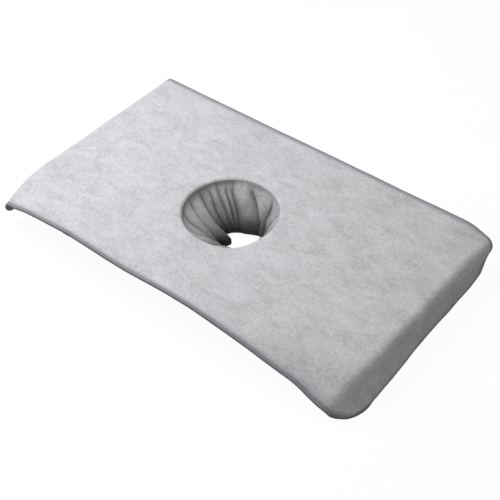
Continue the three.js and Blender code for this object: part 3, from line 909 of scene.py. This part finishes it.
pad = {
    "thinnest": 0.018,        # what is left of it under the drooping corners
    "height": topHigh.z,
    "halfLength": (topHigh.x - topLow.x) / 2,
    "halfWidth": (bindingHigh.y - bindingLow.y) / 2 - 0.008,
    "bevel": 0.048,
    "endRound": 0.014,
    "sideRound": 0.008,
    "footRound": 0.006,
    "rightCorner": 0.100,
    "leftCorner": 0.040,
    "cloth": 0.0013,
    "puff": 0.0012,
    "pucker": 0.0006,
    "foamGap": 0.0003,
    "underCover": 0.0012,     # clear of the cover's underside
    "cord": 0.0015,           # the piping's radius
    "cordSunk": 0.0004,       # and how far its middle lies in from the seam
}
liningLow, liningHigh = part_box("bore_lining")
liningRadius = (liningHigh.x - liningLow.x) / 2
boreRadius = liningRadius - pad["cloth"]


def edgeDraw(distance, radius):
    # how far a rounded edge has drawn in at this distance from its end plane
    inside = np.clip(radius - distance, 0, radius)
    return radius - np.sqrt(np.clip(radius ** 2 - inside ** 2, 0, None))


def roundedLoop(halfX, halfY, right, left):
    # points round rounded rectangles, one row for each half size given, anticlockwise
    turn = np.linspace(0, math.pi / 2, 16)
    corners = [(1, -1, right, -0.5), (1, 1, right, 0.0), (-1, 1, left, 0.5), (-1, -1, left, 1.0)]
    arcs = []
    for sx, sy, radius, start in corners:
        a = start * math.pi + turn
        arcs.append(np.stack([sx * (halfX - radius) + radius * np.cos(a),
                              sy * (halfY - radius) + radius * np.sin(a)], -1))
    line = []
    for k, arc in enumerate(arcs):
        following = arcs[(k + 1) % 4]
        steps = 40 if k % 2 == 0 else 80
        share = np.linspace(0, 1, steps + 2)[1:-1, None]
        line += [arc, arc[:, -1:] * (1 - share) + following[:, :1] * share]
    return np.concatenate(line, 1)


def padLevels(z, inset, puff=0.0):
    # the pad's outline at each height, drawn in by inset, as rows of points in the frame
    z = np.asarray(z, float)[:, None]
    fromTop = np.clip(pad["height"] - inset - z, 0, None)
    foot = edgeDraw(np.clip(z - inset, 0, None), pad["footRound"] - inset)
    slope = pad["bevel"] / pad["height"]
    halfX = pad["halfLength"] - inset - edgeDraw(fromTop, pad["endRound"] - inset) - foot
    halfY = (pad["halfWidth"] - slope * (pad["height"] - z) - inset * math.hypot(1, slope)
             - edgeDraw(fromTop, pad["sideRound"] - inset) - foot)
    puff = np.zeros_like(z) + (puff if np.isscalar(puff) else np.asarray(puff)[:, None])
    loop = roundedLoop(halfX + puff, halfY + puff, pad["rightCorner"] - inset + puff,
                       pad["leftCorner"] - inset + puff)
    return np.concatenate([loop + [padX, padY], np.broadcast_to(z[..., None], (*loop.shape[:2], 1))], -1)


def towardsBore(outline, radius, z, steps):
    # rows from an outline in to the bore's edge, straight towards the hole's axis
    circle = unit(outline[:, :2] - [holeX, holeY]) * radius + [holeX, holeY]
    share = np.linspace(0, 1, steps)[:, None, None]
    flat = outline[None, :, :2] * (1 - share) + circle[None] * share
    return np.concatenate([flat, np.full((*flat.shape[:2], 1), z)], -1)


def coverLimit(points):
    # the height that the cover's underside leaves at each place, where its corners droop
    u = np.clip(points[..., 0] - holeX, foldLeft, foldRight)
    v = np.clip(points[..., 1] - holeY, frontEdge, backEdge)
    found = u
    for _ in range(4):
        found = u + (found - drapeAt(found, v)[..., 0])
        found = np.clip(found, foldLeft, foldRight)
    return coverTop + drapeAt(found, v)[..., 2] - drape["cloth"] * 1.25 - pad["underCover"]


def settle(grid, amount):
    # soft creases in the cloth, and the corners pressed down under the drooping cover
    x, y, z = (grid[..., k] for k in range(3))
    crease = softNoise(x, y, z * 2, 0.045, 11) * amount
    out = np.stack([x - padX, (y - padY) * 1.6, 0 * z], -1)
    out /= np.linalg.norm(out, axis=-1, keepdims=True) + 1e-9
    side = smoothStep(pad["height"] - 0.001, pad["height"] - 0.012, z)[..., None]
    grid = grid + out * crease[..., None] * side * smoothStep(0.0, 0.01, z)[..., None]
    pressed = np.clip(topHigh.z - np.maximum(coverLimit(grid), pad["thinnest"]), 0, None)
    grid[..., 2] -= pressed * np.clip(grid[..., 2] / topHigh.z, 0, 1)
    return grid


def thinShell(name, outside, inside, amount, material, slot, node):
    # a cloth panel: its outer rows, then its inner rows back again
    grid = settle(np.concatenate([outside, inside[::-1]]), amount)
    return dress(closedRing(name, grid.transpose(1, 0, 2)), "pad", material, slot, node)


def makeTopPanel():
    low, high = topLow.z, pad["height"]
    z = np.concatenate([high - pad["endRound"] * (1 - np.cos(np.linspace(0, math.pi / 2, 9))),
                        np.linspace(high - pad["endRound"], low, 5)[1:]])
    bulge = pad["puff"] * np.sin(np.linspace(0, math.pi, len(z))) ** 2 * np.linspace(0, 1, len(z))
    outer = padLevels(z, 0.0, bulge * 0.5)
    inner = padLevels(np.minimum(z, high - pad["cloth"]), pad["cloth"], bulge * 0.5)
    outer = np.concatenate([towardsBore(outer[0], boreRadius, high, 40)[::-1], outer[1:]])
    inner = np.concatenate([towardsBore(inner[0], boreRadius, high - pad["cloth"], 40)[::-1], inner[1:]])
    return thinShell("padTopPanel", outer, inner, pad["pucker"], caseCotton, "case_cotton", "case_top_panel")


def makeSideBand():
    # it stays flat from top to bottom, as the zip lies against it
    low, high = heights("case_side_band")
    z = np.linspace(high, low, 16)
    return thinShell("padSideBand", padLevels(z, 0.0), padLevels(z, pad["cloth"]),
                     pad["pucker"] * 0.6, caseCotton, "case_cotton", "case_side_band")


def makeBasePanel():
    low, high = baseLow.z, baseHigh.z
    z = np.concatenate([[high], np.linspace(pad["footRound"], low, 7)])
    outer = padLevels(z, 0.0)
    inner = padLevels(np.maximum(z, pad["cloth"]), pad["cloth"])
    outer = np.concatenate([outer, towardsBore(outer[-1], boreRadius, low, 30)[1:]])
    inner = np.concatenate([inner, towardsBore(inner[-1], boreRadius, pad["cloth"], 30)[1:]])
    return thinShell("padBasePanel", outer, inner, 0.0, baseCanvas, "case_base_cloth", "case_base_panel")


def makeFoam(name, node, material, slot):
    # one block of foam: top, rounded sides, underside and the bored hole through it
    low, high = heights(node)
    inset = pad["cloth"] + pad["foamGap"]
    foamBore = liningRadius + pad["foamGap"]
    z = np.unique(np.concatenate([
        np.linspace(low, high, 9),
        high - (pad["endRound"] - inset) * (1 - np.cos(np.linspace(0, math.pi / 2, 7))),
    ]))[::-1]
    z = z[(z >= low) & (z <= high)]
    side = padLevels(z, inset)
    top = towardsBore(side[0], foamBore, high, 22)[::-1]
    foot = towardsBore(side[-1], foamBore, low, 22)
    bore = [np.concatenate([foot[-1][:, :2], np.full((len(foot[-1]), 1), h)], 1)
            for h in np.linspace(low, high, 6)[1:-1]]
    grid = settle(np.concatenate([top, side[1:], foot[1:], np.stack(bore)]), 0.0)
    grid[..., 2] = np.maximum(grid[..., 2], low)
    return dress(closedRing(name, grid.transpose(1, 0, 2)), "pad", material, slot, node)


def makePiping(name, node):
    # a covered cord on the seam: a round tube along the pad's outline at that height
    line = padLevels([sum(heights(node)) / 2], 0.0)[0]
    ahead = np.roll(line, -1, 0) - np.roll(line, 1, 0)
    out = unit(together(ahead[:, 1], -ahead[:, 0], 0))
    grid = tube(line - out * pad["cordSunk"], out, np.array([0, 0, 1.0]), pad["cord"], 14)
    cord = closedRing(name, settle(grid, pad["pucker"] * 0.6))
    return dress(cord, "pad", pipingCloth, "case_piping", node)


padTop = makeTopPanel()
padBand = makeSideBand()
padBase = makeBasePanel()
comfortFoam = makeFoam("comfortFoam", "comfort_foam", softFoamLook, "soft_foam")
supportFoam = makeFoam("supportFoam", "support_foam", firmFoamLook, "firm_foam")
makePiping("upperPiping", "case_upper_piping")
makePiping("lowerPiping", "case_lower_piping")
plainRing("boreLining", boreRadius, boreRadius + pad["cloth"], liningLow.z, liningHigh.z,
          caseCotton, "pad", "case_cotton", "bore_lining")
print("pad made")


zipShape = {
    "wire": 0.00033,          # the coil's wire, its radius
    "pitch": 0.00125,
    "plate": 0.0010,          # the slider's plates, through their thickness
    "post": 0.0004,           # half the width of the post between them
    "backHalf": 0.0027,
    "lugHalf": 0.0018,
    "clear": 0.0003,
    "tabHalf": 0.0006,        # the pull, half its thickness
    "stitch": 0.0034,
    "stitchLength": 0.0024,
    "stitchRadius": 0.00024,
    "stitchRows": {"upper": 0.72, "lower": 0.28},  # how far up each tape its row lies
}


def box3(node):
    low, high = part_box(node)
    return np.array(low), np.array(high)


def makeTape(side):
    # a woven tape with rounded edges and a corded inner edge
    low, high = box3("zip_tape_" + side)
    near = 1 if side == "upper" else -1
    inner = low[2] if near > 0 else high[2]
    outer = high[2] if near > 0 else low[2]
    share = np.array([0, 0.03, 0.12, 0.5, 0.9, 0.98, 1])
    z = inner + (outer - inner) * share
    thick = (high[0] - low[0]) * np.array([0.5, 1.0, 0.55, 0.5, 0.5, 0.8, 0.4]) / 2
    middle = (low[0] + high[0]) / 2
    ring = np.concatenate([np.stack([middle - thick, z], 1), np.stack([middle + thick, z], 1)[::-1]])
    y = np.linspace(low[1], high[1], 90)
    ripple = 0.00006 * np.sin(y * 300)
    grid = together(ring[None, :, 0] + ripple[:, None], y[:, None], ring[None, :, 1])
    piece = joinBars("zipTape" + side.capitalize(), [cappedBar(grid)])
    return dress(piece, "pad", zipTapeCloth, "zip_tape_cloth", "zip_tape_" + side)


def makeCoil(side):
    # a nylon wire wound along the tape's edge: an oval helix, swept with a six-sided section
    low, high = box3("zip_coil_" + side)
    wire = zipShape["wire"]
    span = high[1] - low[1] - 2 * wire
    turns = int(span / zipShape["pitch"])
    a = np.linspace(0, turns * 2 * math.pi, turns * 12)
    half = (high - low) / 2 - wire
    centre = (low + high) / 2
    hand = 1 if side == "upper" else -1
    line = np.stack([centre[0] + half[0] * np.cos(a), low[1] + wire + span * a / a[-1],
                     centre[2] + hand * half[2] * np.sin(a)], 1)
    out = together(np.cos(a), 0, hand * np.sin(a))
    grid = tube(line, out, np.array([0, 1.0, 0]), wire, 6)
    piece = joinBars("zipCoil" + side.capitalize(), [cappedBar(grid)])
    return dress(piece, "pad", zipNylon, "zip_coil_nylon", "zip_coil_" + side)


def softBlock(low, high, round_, power=5.0, count=28, levels=(0, 0.35, 0.7, 1)):
    # a plate whose outline in Y and Z is a superellipse, with rounded edges along X
    low, high = np.array(low), np.array(high)
    t = fullTurn(count)
    y = squared(np.cos(t), 2 / power)
    z = squared(np.sin(t), 2 / power)
    centre, half = (low + high) / 2, (high - low) / 2
    reach = half[0] - round_ * (1 - np.sin(np.array(levels) * math.pi / 2))
    x = np.sort(np.concatenate([-reach, reach]))
    past = (np.abs(x) - (half[0] - round_)).clip(0) / round_
    draw = round_ * (1 - np.sqrt(np.clip(1 - past ** 2, 0, 1)))
    return cappedBar(together(centre[0] + x[:, None], centre[1] + (half[1] - draw[:, None]) * y,
                              centre[2] + (half[2] - draw[:, None]) * z))


def pinBar(centre, radius, low, high, count=20):
    # an upright round pin with softened ends
    ends = radius * np.array([0, 0.25, 0.6])
    z = np.concatenate([low + ends, high - ends[::-1]])
    r = radius * np.array([0.7, 0.93, 1, 1, 0.93, 0.7])
    t = fullTurn(count)
    return cappedBar(together(centre[0] + r[:, None] * np.cos(t), centre[1] + r[:, None] * np.sin(t),
                              z[:, None]))


def makeZipHardware():
    low, high = box3("zip_slider")
    pinLow, pinHigh = box3("zip_pull_pin")
    coilLow = box3("zip_coil_lower")[0]
    tabLow, tabHigh = box3("zip_pull_tab")
    pin = (pinLow + pinHigh) / 2
    pinRadius = (pinHigh[0] - pinLow[0]) / 2
    clear, plate, lug = zipShape["clear"], zipShape["plate"], zipShape["lugHalf"]
    post, backHalf = zipShape["post"], zipShape["backHalf"]
    frontFace = coilLow[0] - clear
    middle = (low + high) / 2
    # a plate before the coils, a narrow post between them, and a plate behind
    shortLow, shortHigh = low[1] + 0.001, high[1] - 0.001
    parts = [
        softBlock([frontFace - plate, low[1], low[2]], [frontFace, high[1], high[2]], 0.0004, 3.4),
        softBlock([frontFace - 0.0003, shortLow, middle[2] - post],
                  [high[0] - 0.0002, shortHigh, middle[2] + post], 0.0002),
        softBlock([high[0] - plate, shortLow, middle[2] - backHalf],
                  [high[0], shortHigh, middle[2] + backHalf], 0.0003, 3.4),
    ]
    # a lug over and under the pull carries the pin
    for a, b in ((tabHigh[2] + clear, pinHigh[2]), (pinLow[2], tabLow[2] - clear)):
        parts.append(softBlock([low[0], pin[1] - lug, a],
                               [frontFace - plate + 0.0003, pin[1] + lug, b], 0.0003, 4.0))
    slider = joinBars("zipSlider", parts)
    dress(slider, "zip_slider", zipMetal, "zip_metal", "zip_slider")
    rod = joinBars("zipPullPin", [pinBar(pin, pinRadius, pinLow[2] - 0.0001, pinHigh[2] + 0.0001)])
    dress(rod, "zip_slider", zipMetal, "zip_metal", "zip_pull_pin")
    makeTab(pin, pinRadius, tabLow, tabHigh)
    for node, name in (("zip_stop_closed", "zipStopClosed"), ("zip_stop_open", "zipStopOpen")):
        stopLow, stopHigh = box3(node)
        stop = joinBars(name, [softBlock(stopLow, stopHigh, 0.0005, 3.5)])
        dress(stop, "pad", zipMetal, "zip_metal", node)


def makeTab(pin, pinRadius, low, high):
    # a flat pull with a rounded end and a slot, hung on its eye round the pin
    t = fullTurn(64)
    half, middleZ = (high[2] - low[2]) / 2, (low[2] + high[2]) / 2
    start, end = pin[1] + pinRadius + 0.0009, high[1]
    middleY, halfY = (start + end) / 2, (end - start) / 2
    outY = middleY + halfY * squared(np.cos(t), 0.45)
    widening = 0.86 + 0.14 * (outY - middleY) / halfY
    outZ = middleZ + half * squared(np.sin(t), 0.45) * widening
    slotY = middleY + 0.002 + halfY * 0.55 * squared(np.cos(t), 0.6)
    slotZ = middleZ + half * 0.42 * squared(np.sin(t), 0.6)
    # how far from the outline to the slot, and how far from the middle of the thickness
    profile = [(0, -0.5), (0.06, -1), (0.5, -0.9), (0.94, -1), (1, -0.5),
               (1, 0.5), (0.94, 1), (0.5, 0.9), (0.06, 1), (0, 0.5)]
    rows = []
    for share, level in profile:
        y = outY * (1 - share) + slotY * share
        z = outZ * (1 - share) + slotZ * share
        rows.append(together(pin[0] + zipShape["tabHalf"] * level, y, z))
    plate = np.stack(rows, 1)
    plateBar = (plate.reshape(-1, 3), ringFaces(*plate.shape[:2]))
    hole = pinRadius + zipShape["clear"]
    outer = (high[0] - low[0]) / 2
    z = np.array([low[2] + 0.0002, low[2] + 0.0005, high[2] - 0.0005, high[2] - 0.0002])
    radii = np.array([outer - 0.0003, outer, outer, outer - 0.0003])
    radii = np.concatenate([radii, np.full(4, hole)])
    levels = np.concatenate([z, z[::-1]])
    turn = fullTurn(24)[:, None]
    eye = together(pin[0] + radii * np.cos(turn), pin[1] + radii * np.sin(turn), levels)
    eyeBar = (eye.reshape(-1, 3), ringFaces(*eye.shape[:2]))
    tab = joinBars("zipPullTab", [plateBar, eyeBar])
    dress(tab, "zip_pull", zipMetal, "zip_metal", "zip_pull_tab")


def makeTapeStitches():
    for side, share in zipShape["stitchRows"].items():
        low, high = box3("zip_tape_" + side)
        z = low[2] + (high[2] - low[2]) * share
        y = np.arange(low[1] + 0.004, high[1] - 0.003, zipShape["stitch"])
        places = together(low[0] + 0.00015, y, z)
        ahead = np.tile([0.0, 1.0, 0.0], (len(y), 1))
        up = np.tile([-1.0, 0.0, 0.0], (len(y), 1))
        piece = stitchRow("zipStitches" + side.capitalize(), places, ahead, up,
                          zipShape["stitchLength"], zipShape["stitchRadius"])
        dress(piece, "pad", caseThread, "zip_tape_cloth")


for side in ("upper", "lower"):
    makeTape(side)
    makeCoil(side)
makeZipHardware()
makeTapeStitches()
print("zip made")


stageLook = {
    "floorSize": 12.0,
    "floorSeen": 1.06,    # what the camera sees of the floor before the light adds to it
    "floorGlow": 0.9,     # how much of that comes from its own shine
    "worldSeen": 1.0,
    "worldLight": 0.30,
    "worldColour": (1.0, 0.985, 0.965, 1),
    # place, size, power, colour and what it points at
    "lights": {
        "keyLight": ((-0.70, -0.12, 1.2), 0.9, 17.0, (0.97, 0.985, 1.0), (0.05, 0, 0.05)),
        "fillLight": ((0.3, -1.6, 1.6), 1.6, 3.6, (1, 1, 1), (0, 0, 0.03)),
    },
    # from the face hole's middle, looking down over the right front corner
    "cameraOffset": (0.891, -1.004, 1.1995),
    "cameraForward": (-0.4677, 0.5501, -0.6918),
    "cameraRoll": math.radians(-1.66),
    "sensor": 36,
    "lens": 83.26,
}


def makeFloor():
    # it glows white where the camera sees it, and is a plain grey for the light it gives back
    half = stageLook["floorSize"] / 2
    points = np.array([[-half, -half, 0], [half, -half, 0], [half, half, 0], [-half, half, 0]])
    mesh = bpy.data.meshes.new("studioFloor")
    mesh.from_pydata(points.tolist(), [], [[0, 1, 2, 3]])
    floor = addObject("studioFloor", mesh)
    s = Shader("studioFloor")
    paths = s.node("ShaderNodeLightPath")
    shine = s.node("ShaderNodeEmission")
    shine.inputs["Strength"].default_value = stageLook["floorSeen"]
    grain = s.noise(s.place(), 8, 2)
    s.finishWith(s.ramp(grain, white, (0.3, 0.5), (0.7, 0.52)), Roughness=0.9)
    mix = s.node("ShaderNodeMixShader")
    glow = s.math("MULTIPLY", paths.outputs["Is Camera Ray"], stageLook["floorGlow"])
    s.link(glow, mix.inputs["Fac"])
    s.link(s.surface.outputs["BSDF"], mix.inputs[1])
    s.link(shine.outputs["Emission"], mix.inputs[2])
    s.link(mix.outputs["Shader"], s.out.inputs["Surface"])
    mesh.materials.append(s.material)


def makeWorld():
    # one brightness where the camera sees it, and another for the light that it gives
    world = bpy.data.worlds.new("studioWorld")
    scene.world = world
    world.use_nodes = True
    nodes, link = world.node_tree.nodes, world.node_tree.links.new
    nodes.clear()
    kinds = ("OutputWorld", "MixShader", "LightPath", "Background", "Background")
    out, mix, paths, seen, light = (nodes.new("ShaderNode" + kind) for kind in kinds)
    seen.inputs["Strength"].default_value = stageLook["worldSeen"]
    light.inputs["Color"].default_value = stageLook["worldColour"]
    light.inputs["Strength"].default_value = stageLook["worldLight"]
    link(paths.outputs["Is Camera Ray"], mix.inputs["Fac"])
    link(light.outputs["Background"], mix.inputs[1])
    link(seen.outputs["Background"], mix.inputs[2])
    link(mix.outputs["Shader"], out.inputs["Surface"])


def makeLight(name, place, size, power, colour, aim):
    data = bpy.data.lights.new(name, "AREA")
    data.shape = "DISK"
    data.size = size
    data.energy = power
    data.color = colour
    lamp = addObject(name, data)
    lamp.location = place
    lamp.rotation_mode = "QUATERNION"
    lamp.rotation_quaternion = (Vector(aim) - Vector(place)).to_track_quat("-Z", "Y")


def makeCamera():
    offset = Vector(stageLook["cameraOffset"])
    forward = Vector(stageLook["cameraForward"]).normalized()
    roll = stageLook["cameraRoll"]
    level = forward.cross(Vector((0, 0, 1))).normalized()
    up = level.cross(forward)
    right = level * math.cos(roll) + up * math.sin(roll)
    top = right.cross(forward)
    data = bpy.data.cameras.new("camera")
    data.sensor_width = stageLook["sensor"]
    data.lens = stageLook["lens"]
    data.clip_start, data.clip_end = 0.05, 60
    camera = addObject("camera", data)
    turned = Matrix((right, top, -forward)).transposed().to_4x4()
    camera.matrix_world = Matrix.Translation(Vector((holeX, holeY, coverTop)) + offset) @ turned
    scene.camera = camera


makeFloor()
makeWorld()
for name, light in stageLook["lights"].items():
    makeLight(name, *light)
makeCamera()
print("stage made")
